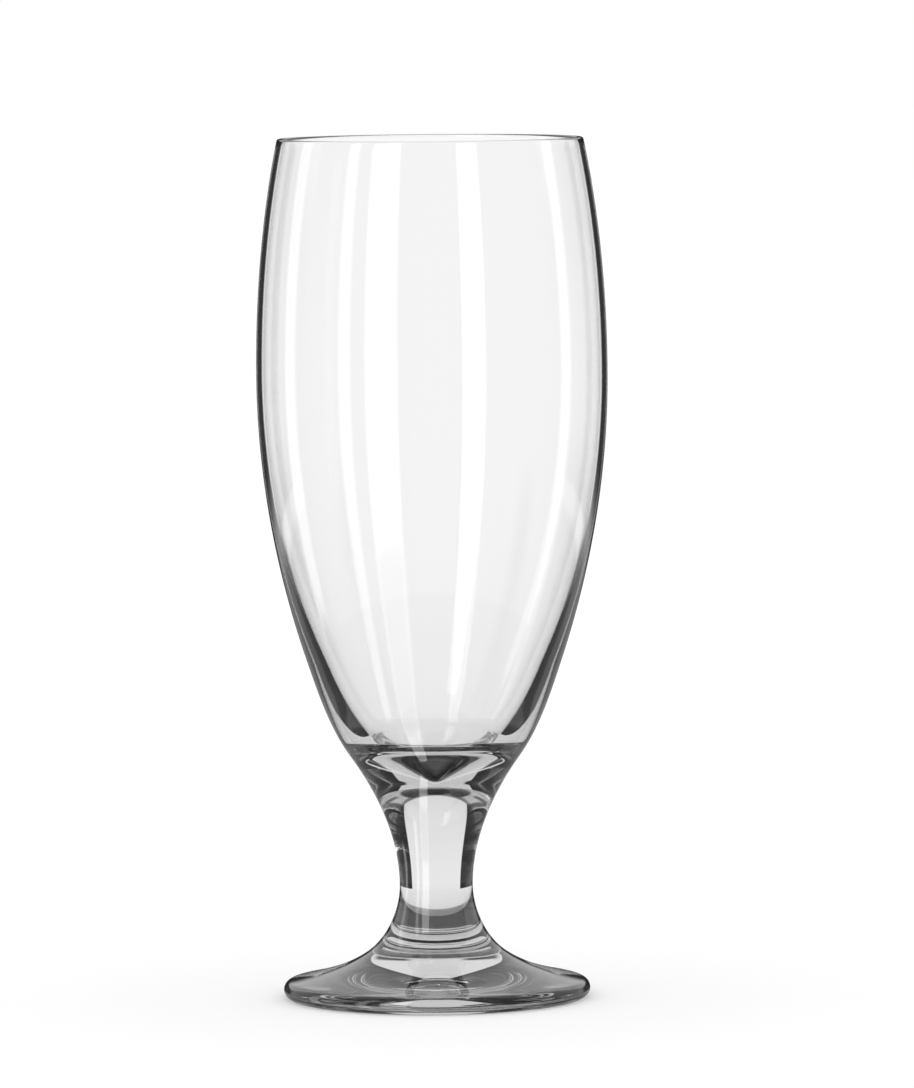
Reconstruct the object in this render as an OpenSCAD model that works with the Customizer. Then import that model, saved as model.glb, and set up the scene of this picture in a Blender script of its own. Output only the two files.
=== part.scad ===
// Footed pilsner glass: a tall barrel-shaped bowl, a short solid stem and a flared round foot.
// It is one piece of clear glass, so the whole glass is one section turned about its axis.
// The axis is Z, the foot stands on the plane Z = 0, and all lengths are in millimetres.

/* [Bowl outside] */
// Height of the glass from the table to the top of the rim
glass_h = 187.3; // [170:0.1:210]
// Diameter across the outside of the rim
rim_d = 66.6; // [56:0.1:76]
// Angle by which the wall leans inwards at the rim
rim_lean = 11.7; // [0:0.1:20]
// Diameter across the belly, the widest place of the bowl
belly_d = 76.3; // [68:0.1:88]
// Height of the belly above the table
belly_h = 136.2; // [110:0.1:155]
// Outside diameter where the bowl starts to draw in to its heel
heel_d = 55.4; // [48:0.1:62]
// Height of that place above the table
heel_h = 73.7; // [68:0.1:85]
// Angle by which the wall leans outwards there
heel_lean = 18.6; // [12:0.1:26]

/* [Bowl inside] */
// Thickness of the wall at the rim, which is melted to a full round
rim_wall = 1.25; // [0.9:0.05:2.5]
// Thickness of the wall at the belly, square to the wall
belly_wall = 1.2; // [0.9:0.05:2.5]
// Thickness of the wall at the heel, square to the outside
heel_wall = 3.3; // [2.5:0.05:4.5]
// Angle by which the inside leans outwards at the heel, where the wall grows thicker downwards
heel_inside_lean = 23.5; // [19:0.1:30]
// Height of the bowl's inside floor above the table
floor_h = 56.4; // [54:0.1:60]
// Diameter of the floor inside its rounded corner
floor_d = 24.4; // [20:0.1:28]
// Diameter of the pointed dip in the middle of the floor, where its straight side ends
dip_d = 16; // [8:0.1:18]
// Depth of the dip, from the floor down to its point
dip_depth = 6.1; // [5.6:0.1:8]
// Angle between the dip's straight side and upright
dip_lean = 61; // [58:0.5:66]
// Radius of the corner between the floor and the wall
corner_r = 4.5; // [2:0.1:6]
// Angle by which the wall leans outwards where it meets that corner
corner_lean = 37.5; // [28:0.5:50]

/* [Stem] */
// Diameter of the solid neck where its curve turns from full to hollow
neck_d = 36.8; // [34:0.1:42]
// Height of that place above the table
neck_h = 52.8; // [46:0.1:54]
// Angle by which the neck leans outwards there
neck_lean = 35.9; // [28:0.1:44]
// Diameter of the stem at its waist, the thinnest place
stem_d = 15.9; // [12:0.1:22]
// Height of the waist above the table
stem_h = 24.7; // [20:0.1:32]

/* [Foot] */
// Diameter of the flare where the stem has opened into the foot
flare_d = 30.4; // [26:0.1:40]
// Height of that place above the table
flare_h = 9.9; // [8:0.1:13]
// Angle between the flare and upright there
flare_lean = 55.2; // [45:0.1:65]
// Diameter across the foot
foot_d = 66.8; // [56:0.1:78]
// Radius of the foot's rounded edge
foot_edge = 2; // [1.2:0.05:2.8]
// Angle by which the top of the foot slopes down at its edge
foot_slope = 11.9; // [5:0.1:20]
// Width of the flat ring that the glass stands on
rest_w = 4; // [2:0.1:8]
// Height of the hollow under the foot, at its middle
hollow_h = 2; // [0.5:0.1:4]

/* [Hidden] */

// Points on each stretch of the section, and sides of the finished round
steps = 16;
sides = 180;

// A station is a place on the wall: its radius, its height and its lean from upright.
rim_outside = [
    rim_d / 2 - rim_wall / 2 * (1 - cos(rim_lean)),
    glass_h - rim_wall / 2 * (1 - sin(rim_lean)),
    -rim_lean
];
belly_outside = [belly_d / 2, belly_h, 0];
heel_outside = [heel_d / 2, heel_h, heel_lean];
neck_outside = [neck_d / 2, neck_h, neck_lean];
stem_outside = [stem_d / 2, stem_h, 0];
flare_outside = [flare_d / 2, flare_h, -flare_lean];

// The foot's edge is an arc round this centre, and the top of the foot runs into it.
edge_middle = [foot_d / 2 - foot_edge, foot_edge];
foot_outside = [
    edge_middle[0] + foot_edge * sin(foot_slope),
    edge_middle[1] + foot_edge * cos(foot_slope),
    foot_slope - 90
];

// The hollow under the foot is an arc from the inside of the flat ring to the axis.
hollow_r = edge_middle[0] - rest_w;
hollow_rise = 2 * atan(hollow_h / hollow_r);
hollow_side = [hollow_r, 0, hollow_rise - 90];
hollow_middle = [0, hollow_h, -90];

// The wall grows thicker from the belly to the heel, so the inside leans more there than the outside.
heel_across = across(heel_outside, heel_wall);
heel_inside = [heel_across[0], heel_across[1], heel_inside_lean];

// The dip in the floor is a cone, whose side runs out level at the edge of the floor.
dip_point = [0, floor_h - dip_depth, dip_lean];
dip_side = [dip_d / 2, dip_point[1] + dip_d / 2 / tan(dip_lean), dip_lean];
floor_side = [floor_d / 2, floor_h, 90];

// The corner between floor and wall is an arc that starts level, at the edge of the floor.
corner_top = [
    floor_side[0] + corner_r * cos(corner_lean),
    floor_side[1] + corner_r * (1 - sin(corner_lean)),
    corner_lean
];

// Direction in which a wall of this lean climbs
function along(lean) = [sin(lean), cos(lean)];

// Station on the inner face, square across the wall from a station on the outer face
function across(station, wall) = [
    station[0] - wall * cos(station[2]),
    station[1] + wall * sin(station[2]),
    station[2]
];

// Smooth stretch from one station up to, and not including, the next: climb is 1 upwards and -1 downwards
function stretch(a, b, climb) =
    let (
        start = [a[0], a[1]],
        end = [b[0], b[1]],
        reach = climb * norm(end - start) / 3,
        lead = start + reach * along(a[2]),
        trail = end - reach * along(b[2])
    )
    [for (i = [0 : steps - 1])
        let (t = i / steps, s = 1 - t)
        s ^ 3 * start + 3 * s ^ 2 * t * lead + 3 * s * t ^ 2 * trail + t ^ 3 * end];

// Smooth stretches through a list of stations
function wall_through(stations, climb) =
    [for (i = [0 : len(stations) - 2]) each stretch(stations[i], stations[i + 1], climb)];

// Round stretch about a centre, from one angle up to, and not including, another
function round_off(centre, radius, from, to) =
    [for (i = [0 : steps - 1]) let (a = from + (to - from) * i / steps) centre + radius * [cos(a), sin(a)]];

// Inside of the bowl, from the point of the dip up to the rim
function bowl_inside() = wall_through([
    dip_point,
    dip_side,
    floor_side,
    corner_top,
    heel_inside,
    across(belly_outside, belly_wall),
    across(rim_outside, rim_wall)
], 1);

// The rim's full round, from the inner face over the top to the outer face
function rim_round() =
    let (middle = across(rim_outside, rim_wall / 2))
    round_off([middle[0], middle[1]], rim_wall / 2, 180 + rim_lean, rim_lean);

// Outside of the glass, from just below the rim down to the edge of the foot
function glass_outside() = wall_through([
    rim_outside,
    belly_outside,
    heel_outside,
    neck_outside,
    stem_outside,
    flare_outside,
    foot_outside
], -1);

// Edge of the foot, the flat ring it stands on, and the hollow inside that ring
function foot_underside() = concat(
    round_off(edge_middle, foot_edge, 90 - foot_slope, -90),
    [[edge_middle[0], 0]],
    stretch(hollow_side, hollow_middle, 1),
    [[hollow_middle[0], hollow_middle[1]]]
);

// The whole glass, turned from one closed section
module pilsner_glass() {
    color([0.9, 0.93, 0.94, 0.45])
        rotate_extrude($fn = sides)
            polygon(concat(bowl_inside(), rim_round(), glass_outside(), foot_underside()));
}

pilsner_glass();
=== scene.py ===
from math import atan, cos, hypot, pi, radians, sin, tan

import bpy
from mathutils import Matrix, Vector


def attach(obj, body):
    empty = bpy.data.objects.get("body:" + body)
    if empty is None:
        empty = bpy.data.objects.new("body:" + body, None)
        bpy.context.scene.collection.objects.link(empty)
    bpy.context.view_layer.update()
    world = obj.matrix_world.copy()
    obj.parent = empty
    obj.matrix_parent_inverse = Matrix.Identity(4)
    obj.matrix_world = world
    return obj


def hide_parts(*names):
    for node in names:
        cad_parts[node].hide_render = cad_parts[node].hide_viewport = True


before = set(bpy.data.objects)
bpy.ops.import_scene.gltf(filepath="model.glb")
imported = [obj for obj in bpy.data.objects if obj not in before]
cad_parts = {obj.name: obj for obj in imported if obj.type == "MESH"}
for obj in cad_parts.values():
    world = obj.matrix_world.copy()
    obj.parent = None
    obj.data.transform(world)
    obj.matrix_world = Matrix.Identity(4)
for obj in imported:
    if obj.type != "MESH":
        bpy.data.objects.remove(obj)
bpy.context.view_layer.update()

# Camera. A long lens looks slightly down at the glass from a good arm's length and a half away, a little
# to its right, and leans by a fraction of a degree.
camera_distance = 1.850
camera_height = 0.232
camera_side = 0.00625
camera_pitch = radians(4.112)
camera_lean = radians(0.48)
camera_lens = 282.3

bpy.ops.object.camera_add(
    location=(camera_side, -camera_distance, camera_height),
    rotation=(radians(90) - camera_pitch, camera_lean, 0),
)
camera = bpy.context.object
camera.name = "camera"
camera.data.lens = camera_lens
camera.data.clip_end = 20
bpy.context.scene.camera = camera
bpy.context.scene.view_settings.view_transform = "Standard"


# Floor. A wide matt white floor, as bright as the room, so that only the glass's own soft shadow shows on
# it. The glass itself doesn't show this floor, but the small table top that comes next.
floor_size = 12.0
floor_glow = 0.05
floor_paint = bpy.data.materials.new("white_floor")
floor_paint.use_nodes = True
floor_surface = floor_paint.node_tree.nodes["Principled BSDF"]
floor_surface.inputs["Base Color"].default_value = (1, 1, 1, 1)
floor_surface.inputs["Roughness"].default_value = 1.0
floor_surface.inputs["Specular IOR Level"].default_value = 0.0
floor_surface.inputs["Emission Color"].default_value = (1, 1, 1, 1)
floor_surface.inputs["Emission Strength"].default_value = floor_glow

bpy.ops.object.select_all(action="DESELECT")
bpy.ops.mesh.primitive_plane_add(size=floor_size)
floor = bpy.context.object
floor.name = "floor"
floor.data.materials.append(floor_paint)
floor.visible_glossy = False
floor.visible_transmission = False
floor.visible_diffuse = False


# Table top. A small round one just under the floor, which shows only through the glass. It is covered with
# dark paper, which is painted shade, and a white card, a painted pool of light, lies on it behind the
# glass, with a small grey disc under the foot as the foot's painted shadow. Light that the glass turned
# inside itself shows them so. Straight light shows the paper white like the card, and the two walls of the
# bowl show the disc white as well.
table_radius = 0.135
table_depth = 0.0005
card_width = 0.110
card_length = 0.116
card_middle = (0, 0.088, -0.0003)
disc_radius = 0.017
disc_middle = (0, 0.009, -0.0004)
faces_for_each_turn = 100

table_paints = []
# Painted light and shade for the table top: a dark paint for shade round the glass, a pale one for light
# behind it, and a grey one for the foot's shadow.
for name, tone, faces in (("painted_shade_paper", 0.025, 0), ("painted_light_card", 0.85, 0), ("grey_shade", 0.3, 3)):
    paint = bpy.data.materials.new(name)
    paint.use_nodes = True
    nodes = paint.node_tree.nodes
    links = paint.node_tree.links
    surface = nodes["Principled BSDF"]
    surface.inputs["Roughness"].default_value = 1.0
    surface.inputs["Specular IOR Level"].default_value = 0.0

    # The paint is white in light that crossed more faces of the glass than its limit, and one turn inside
    # the glass puts that limit out of reach.
    light = nodes.new("ShaderNodeLightPath")
    limit = nodes.new("ShaderNodeMath")
    limit.operation = "MULTIPLY_ADD"
    limit.inputs[1].default_value = faces_for_each_turn
    limit.inputs[2].default_value = faces + 0.5
    links.new(light.outputs["Glossy Depth"], limit.inputs[0])
    white = nodes.new("ShaderNodeMath")
    white.operation = "GREATER_THAN"
    links.new(light.outputs["Transmission Depth"], white.inputs[0])
    links.new(limit.outputs["Value"], white.inputs[1])

    brightness = nodes.new("ShaderNodeMapRange")
    brightness.inputs["To Min"].default_value = tone
    links.new(white.outputs["Value"], brightness.inputs["Value"])
    colour = nodes.new("ShaderNodeCombineColor")
    for channel in ("Red", "Green", "Blue"):
        links.new(brightness.outputs["Result"], colour.inputs[channel])
    links.new(colour.outputs["Color"], surface.inputs["Base Color"])
    table_paints.append(paint)

bpy.ops.object.select_all(action="DESELECT")
bpy.ops.mesh.primitive_circle_add(
    vertices=96,
    radius=table_radius,
    fill_type="NGON",
    location=(0, 0, -table_depth),
)
table = bpy.context.object
table.name = "table_top"

bpy.ops.object.select_all(action="DESELECT")
bpy.ops.mesh.primitive_plane_add(size=1, location=card_middle)
bpy.context.object.scale = (card_width, card_length, 1)
bpy.ops.object.transform_apply(location=False, rotation=False, scale=True)
card = bpy.context.object
card.name = "card_behind"

bpy.ops.object.select_all(action="DESELECT")
bpy.ops.mesh.primitive_circle_add(vertices=64, radius=disc_radius, fill_type="NGON", location=disc_middle)
disc = bpy.context.object
disc.name = "shade_under_foot"

# The table top carries the painted shade, the card behind the glass the painted light, and the disc the
# foot's painted shadow.
for piece, paint in zip((table, card, disc), table_paints):
    piece.data.materials.append(paint)
    piece.visible_camera = False
    piece.visible_diffuse = False
    piece.visible_shadow = False
    piece.visible_glossy = False


# Room. It is plain white, and lights the floor evenly. Clear glass shows only what stands round it, so
# dark curtains at the sides and overhead give it its dark edges, as in any studio, and three tall bright
# strips at the left of the camera give the upright highlights. Only the glass shows them, and each card
# is shown to the kinds of light named with it alone, which a real room can't do.
world = bpy.data.worlds.new("white_room")
world.use_nodes = True
world.cycles.sampling_method = "NONE"
bpy.context.scene.world = world
room = world.node_tree


def work_out(operation, *values):
    """A number worked out from other numbers."""
    node = room.nodes.new("ShaderNodeMath")
    node.operation = operation
    for socket, value in zip(node.inputs, values):
        if isinstance(value, (int, float)):
            socket.default_value = value
        else:
            room.links.new(value, socket)
    return node.outputs["Value"]


def rise(value, place, softness):
    """Climbs from 0 to 1 round a place."""
    node = room.nodes.new("ShaderNodeMapRange")
    node.interpolation_type = "SMOOTHSTEP"
    node.inputs["From Min"].default_value = place - softness / 2
    node.inputs["From Max"].default_value = place + softness / 2
    room.links.new(value, node.inputs["Value"])
    return node.outputs["Result"]


looking = room.nodes.new("ShaderNodeSeparateXYZ")
room.links.new(room.nodes.new("ShaderNodeTexCoord").outputs["Generated"], looking.inputs["Vector"])
bearing = work_out("DEGREES", work_out("ARCTAN2", looking.outputs["X"], looking.outputs["Y"]))
elevation = work_out("DEGREES", work_out("ARCSINE", looking.outputs["Z"]))

# Shine is thrown back by the outside of the glass and never went in. Light that went in and came out again
# is through light: straight if nothing threw it back inside, and turned otherwise. Where it crossed both
# walls of the bowl, with two faces each, it is bowl light if straight, and back wall light if turned. The
# other turned light was thrown back once, or more often and is then in-wall light. Many is all turned
# light that isn't once light.
path = room.nodes.new("ShaderNodeLightPath")
seen = work_out("LESS_THAN", path.outputs["Diffuse Depth"], 0.5)
through = work_out("MULTIPLY", path.outputs["Is Transmission Ray"], seen)
shine = work_out("MULTIPLY", path.outputs["Is Glossy Ray"], work_out("SUBTRACT", seen, through))
turned = work_out("MULTIPLY", through, work_out("GREATER_THAN", path.outputs["Glossy Depth"], 0.5))
straight = work_out("SUBTRACT", through, turned)
both_walls = work_out("GREATER_THAN", path.outputs["Transmission Depth"], 3.5)
bowl = work_out("MULTIPLY", straight, both_walls)
back_wall = work_out("MULTIPLY", turned, both_walls)
turns_and_walls = work_out("ADD", path.outputs["Glossy Depth"], both_walls)
once = work_out("MULTIPLY", turned, work_out("LESS_THAN", turns_and_walls, 1.5))
many = work_out("SUBTRACT", turned, once)
in_wall = work_out("SUBTRACT", many, back_wall)


def hang(level, tone, seen_by, bearings, heights, softness=1.0):
    """The room's brightness with one more card in it, between two bearings and two angles of height, in
    degrees. Bearings run from straight behind the glass, to the right and on round."""
    middle = (bearings[0] + bearings[1]) / 2
    beside = work_out("ABSOLUTE", work_out("WRAP", work_out("SUBTRACT", bearing, middle), 180, -180))
    past_side = rise(beside, (bearings[1] - bearings[0]) / 2, softness)
    inside = work_out("MULTIPLY", work_out("SUBTRACT", 1, past_side), rise(elevation, heights[0], softness))
    inside = work_out("MULTIPLY", inside, work_out("SUBTRACT", 1, rise(elevation, heights[1], softness)))
    cover = work_out("MULTIPLY", inside, seen_by)
    return work_out("MULTIPLY_ADD", cover, work_out("SUBTRACT", tone, level), level)


def hang_both(level, tone, seen_by, bearings, heights, softness):
    """The room's brightness with the same card hung twice, at the right and at the left."""
    level = hang(level, tone, seen_by, (-bearings[1], -bearings[0]), heights, softness)
    return hang(level, tone, seen_by, bearings, heights, softness)


all_round = (-200, 200)
lowest = -120
highest = 120
no_card = 1.0
plain_wall = room.nodes.new("ShaderNodeValue")
plain_wall.outputs["Value"].default_value = no_card
level = plain_wall.outputs["Value"]

# The curtains close the room but for a gap behind the glass. Dark cloths hang overhead, and leave a pale
# stretch between them for turned light.
curtain = 0.02
curtain_ends = (31, 329)
level = hang(level, curtain, through, curtain_ends, (-14, 90))
level = hang(level, curtain, turned, curtain_ends, (lowest, -17), 2.0)
level = hang(level, curtain, straight, all_round, (40, highest), 2.0)
level = hang(level, curtain, many, all_round, (40, 50), 2.0)
level = hang(level, curtain, turned, all_round, (63, highest), 2.0)

# A pale card lies low in the gap, and dull ones lighten the curtains at the sides and in front.
level = hang(level, 0.9, many, (-60, 60), (-50, -17), 6.0)
level = hang(level, 0.12, many, (80, 280), (-17, 50), 8.0)
level = hang(level, 0.5, once, (75, 285), (lowest, 40), 8.0)

# Narrow dark cards stand at both sides of the gap, and a dull one next to them. They draw the dark wedges
# in the lower wall of the bowl, and the dark patches and bands under its floor.
level = hang_both(level, 0.03, once, (11, 28), (-12, 6), 5.0)
level = hang_both(level, 0.04, in_wall, (3, 27), (-15, 4), 5.0)
level = hang_both(level, 0.1, once, (11, 28), (-60, -12), 6.0)
level = hang_both(level, 0.02, once, (25, 36), (-60, -13), 5.0)
level = hang_both(level, 0.25, once, (40, 75), (-12, 3), 6.0)

# Seen from the right or from behind, the glass has these white cards at its back, and not the curtains.
level = hang(level, 1.0, bowl, (-106, -74), (-40, 1))
level = hang(level, 1.0, straight, (105, 255), (-40, 1), 6.0)

# Shine shows a dull room, which is darker behind the glass, white above that, and pale at both its sides.
level = hang(level, 0.3, shine, all_round, (lowest, highest))
level = hang(level, 0.04, shine, (-33, 33), (-7.5, highest), 3.0)
level = hang(level, 0.4, shine, (-40, 40), (-15, -7.5), 3.0)
level = hang(level, 1.0, shine, (-90, 90), (10, 75), 6.0)
level = hang_both(level, 0.8, shine, (38, 75), (-8, 20), 6.0)

# The back wall shows pale cards at the sides and in front, and a narrow dark one at the right and the left.
level = hang(level, 0.8, back_wall, (45, 315), (-40, 54), 6.0)
level = hang(level, 0.8, back_wall, (140, 220), (40, 75), 6.0)
level = hang_both(level, 0.08, back_wall, (98, 112), (9, 45), 8.0)

# The three bright strips, as shine shows them, the first one weaker low down. The back wall shows the
# first and the last of them again.
first_strip = (202.5, 224)
middle_strip = (235, 243.5)
last_strip = (281, 292)
level = hang(level, 4.0, shine, first_strip, (lowest, 50), 3.0)
level = hang(level, 1.5, shine, first_strip, (-54, -24), 8.0)
level = hang(level, 3.0, shine, middle_strip, (-45, 50), 4.0)
level = hang(level, 2.5, shine, last_strip, (-23, 50), 4.0)
level = hang(level, 4.0, back_wall, (201, 217), (-28, 50), 2.0)
level = hang(level, 2.5, back_wall, last_strip, (-28, 22), 4.0)
room.links.new(level, room.nodes["Background"].inputs["Strength"])
room.nodes["Background"].inputs["Color"].default_value = (1, 1, 1, 1)

# Thick glass turns light round inside itself many times before it lets it out.
bpy.context.scene.cycles.max_bounces = 32
bpy.context.scene.cycles.transmission_bounces = 32
bpy.context.scene.cycles.glossy_bounces = 16


# Glass. One piece of clear glass: the bowl and the solid stem are blown and drawn in one, the foot is
# pressed on hot, and the rim is melted to a full round. It is turned from one closed section, whose
# stations are radius, height and lean from upright, in millimetres and degrees.
mm = 0.001
rim_wall = 1.25
belly_wall = 1.2
heel_wall = 3.3
heel_inside_lean = 23.5
rim_radius = 33.3
rim_height = 187.3
rim_lean = 11.7
rim_outside = (
    rim_radius - rim_wall / 2 * (1 - cos(radians(rim_lean))),
    rim_height - rim_wall / 2 * (1 - sin(radians(rim_lean))),
    -rim_lean,
)
belly_outside = (38.15, 136.2, 0)
heel_outside = (27.7, 73.7, 18.6)
neck_outside = (18.4, 52.8, 35.9)
stem_outside = (7.95, 24.7, 0)
flare_outside = (15.2, 9.9, -55.2)

# The foot's edge is an arc, and a shallow hollow leaves a flat ring to stand on.
foot_radius = 33.4
foot_edge = 2.0
foot_slope = 11.9
edge_middle = (foot_radius - foot_edge, foot_edge)
foot_outside = (
    edge_middle[0] + foot_edge * sin(radians(foot_slope)),
    edge_middle[1] + foot_edge * cos(radians(foot_slope)),
    foot_slope - 90,
)
rest_width = 4.0
hollow_height = 2.0
hollow_radius = edge_middle[0] - rest_width
hollow_side = (hollow_radius, 0, 2 * atan(hollow_height / hollow_radius) * 180 / pi - 90)
hollow_middle = (0, hollow_height, -90)

# The bowl's floor has a pointed dip in its middle and a rounded corner to the wall.
bowl_floor_radius = 12.2
bowl_floor_height = 56.4
dip_radius = 8.0
dip_depth = 6.1
dip_lean = 61.0
corner_radius = 4.5
corner_lean = 37.5
dip_point = (0, bowl_floor_height - dip_depth, dip_lean)
dip_side = (dip_radius, dip_point[1] + dip_radius / tan(radians(dip_lean)), dip_lean)
floor_side = (bowl_floor_radius, bowl_floor_height, 90)
corner_top = (
    floor_side[0] + corner_radius * cos(radians(corner_lean)),
    floor_side[1] + corner_radius * (1 - sin(radians(corner_lean))),
    corner_lean,
)


def across(station, wall):
    """The station on the inner face, square across the wall from one on the outer face."""
    radius, height, lean = station
    return radius - wall * cos(radians(lean)), height + wall * sin(radians(lean)), lean


def stretch(start, end, climb, steps):
    """Points of a smooth wall from one station to the next, which is left out."""
    reach = climb * hypot(end[0] - start[0], end[1] - start[1]) / 3
    lead = (start[0] + reach * sin(radians(start[2])), start[1] + reach * cos(radians(start[2])))
    trail = (end[0] - reach * sin(radians(end[2])), end[1] - reach * cos(radians(end[2])))
    points = []
    for step in range(steps):
        t = step / steps
        s = 1 - t
        points.append(tuple(
            s ** 3 * start[i] + 3 * s ** 2 * t * lead[i] + 3 * s * t ** 2 * trail[i] + t ** 3 * end[i]
            for i in (0, 1)
        ))
    return points


def round_off(middle, radius, first, last, steps):
    """Points of an arc about a middle, from one angle up to another, which is left out."""
    angles = [radians(first + (last - first) * step / steps) for step in range(steps)]
    return [(middle[0] + radius * cos(a), middle[1] + radius * sin(a)) for a in angles]


heel_inside = across(heel_outside, heel_wall)[:2] + (heel_inside_lean,)
belly_inside = across(belly_outside, belly_wall)
rim_inside = across(rim_outside, rim_wall)
rim_middle = across(rim_outside, rim_wall / 2)

# The section goes from the point of the dip up the inside, round the rim, down the outside and in under
# the foot. Each stretch ends with its number of steps.
up = 1
down = -1
section = stretch(dip_point, dip_side, up, 6)
section += stretch(dip_side, floor_side, up, 12)
section += stretch(floor_side, corner_top, up, 16)
section += stretch(corner_top, heel_inside, up, 24)
section += stretch(heel_inside, belly_inside, up, 36)
section += stretch(belly_inside, rim_inside, up, 28)
section += round_off(rim_middle, rim_wall / 2, 180 + rim_lean, rim_lean, 14)
section += stretch(rim_outside, belly_outside, down, 28)
section += stretch(belly_outside, heel_outside, down, 36)
section += stretch(heel_outside, neck_outside, down, 24)
section += stretch(neck_outside, stem_outside, down, 28)
section += stretch(stem_outside, flare_outside, down, 24)
section += stretch(flare_outside, foot_outside, down, 16)
section += round_off(edge_middle, foot_edge, 90 - foot_slope, -90, 20)
section += [(edge_middle[0], 0)]
section += stretch(hollow_side, hollow_middle, up, 14)
section += [hollow_middle[:2]]

sides = 256
same_place = 1e-6
bpy.ops.object.select_all(action="DESELECT")
bpy.ops.mesh.primitive_plane_add(size=mm)
glass = bpy.context.object
glass.name = "clear_glass"
bpy.ops.object.mode_set(mode="EDIT")
bpy.ops.mesh.select_all(action="SELECT")
bpy.ops.mesh.merge(type="CENTER")
here = Vector((section[0][0] * mm, 0, section[0][1] * mm))
bpy.ops.transform.translate(value=here)
for radius, height in section[1:]:
    there = Vector((radius * mm, 0, height * mm))
    bpy.ops.mesh.extrude_vertices_move(TRANSFORM_OT_translate={"value": there - here})
    here = there
bpy.ops.mesh.select_all(action="SELECT")
bpy.ops.mesh.spin(steps=sides, angle=2 * pi, center=(0, 0, 0), axis=(0, 0, 1))
bpy.ops.mesh.select_all(action="SELECT")
bpy.ops.mesh.remove_doubles(threshold=same_place)
bpy.ops.mesh.normals_make_consistent(inside=False)
bpy.ops.object.mode_set(mode="OBJECT")
bpy.ops.object.shade_smooth()

# The body of the glass is faintly grey. It takes about a tenth of the light in each centimetre, which is
# more than real clear glass does, so that the thick heel, stem and foot come out as dark as they should.
clear = bpy.data.materials.new("clear_glass")
clear.use_nodes = True
shader = clear.node_tree.nodes["Principled BSDF"]
shader.inputs["Base Color"].default_value = (1, 1, 1, 1)
shader.inputs["Roughness"].default_value = 0.0
shader.inputs["IOR"].default_value = 1.52
shader.inputs["Transmission Weight"].default_value = 1.0
haze = clear.node_tree.nodes.new("ShaderNodeVolumeAbsorption")
haze.inputs["Color"].default_value = (0.9, 0.9, 0.9, 1)
haze.inputs["Density"].default_value = 110.0
clear.node_tree.links.new(haze.outputs["Volume"], clear.node_tree.nodes["Material Output"].inputs["Volume"])
glass.data.materials.append(clear)

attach(glass, "root")
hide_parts("pilsner_glass")
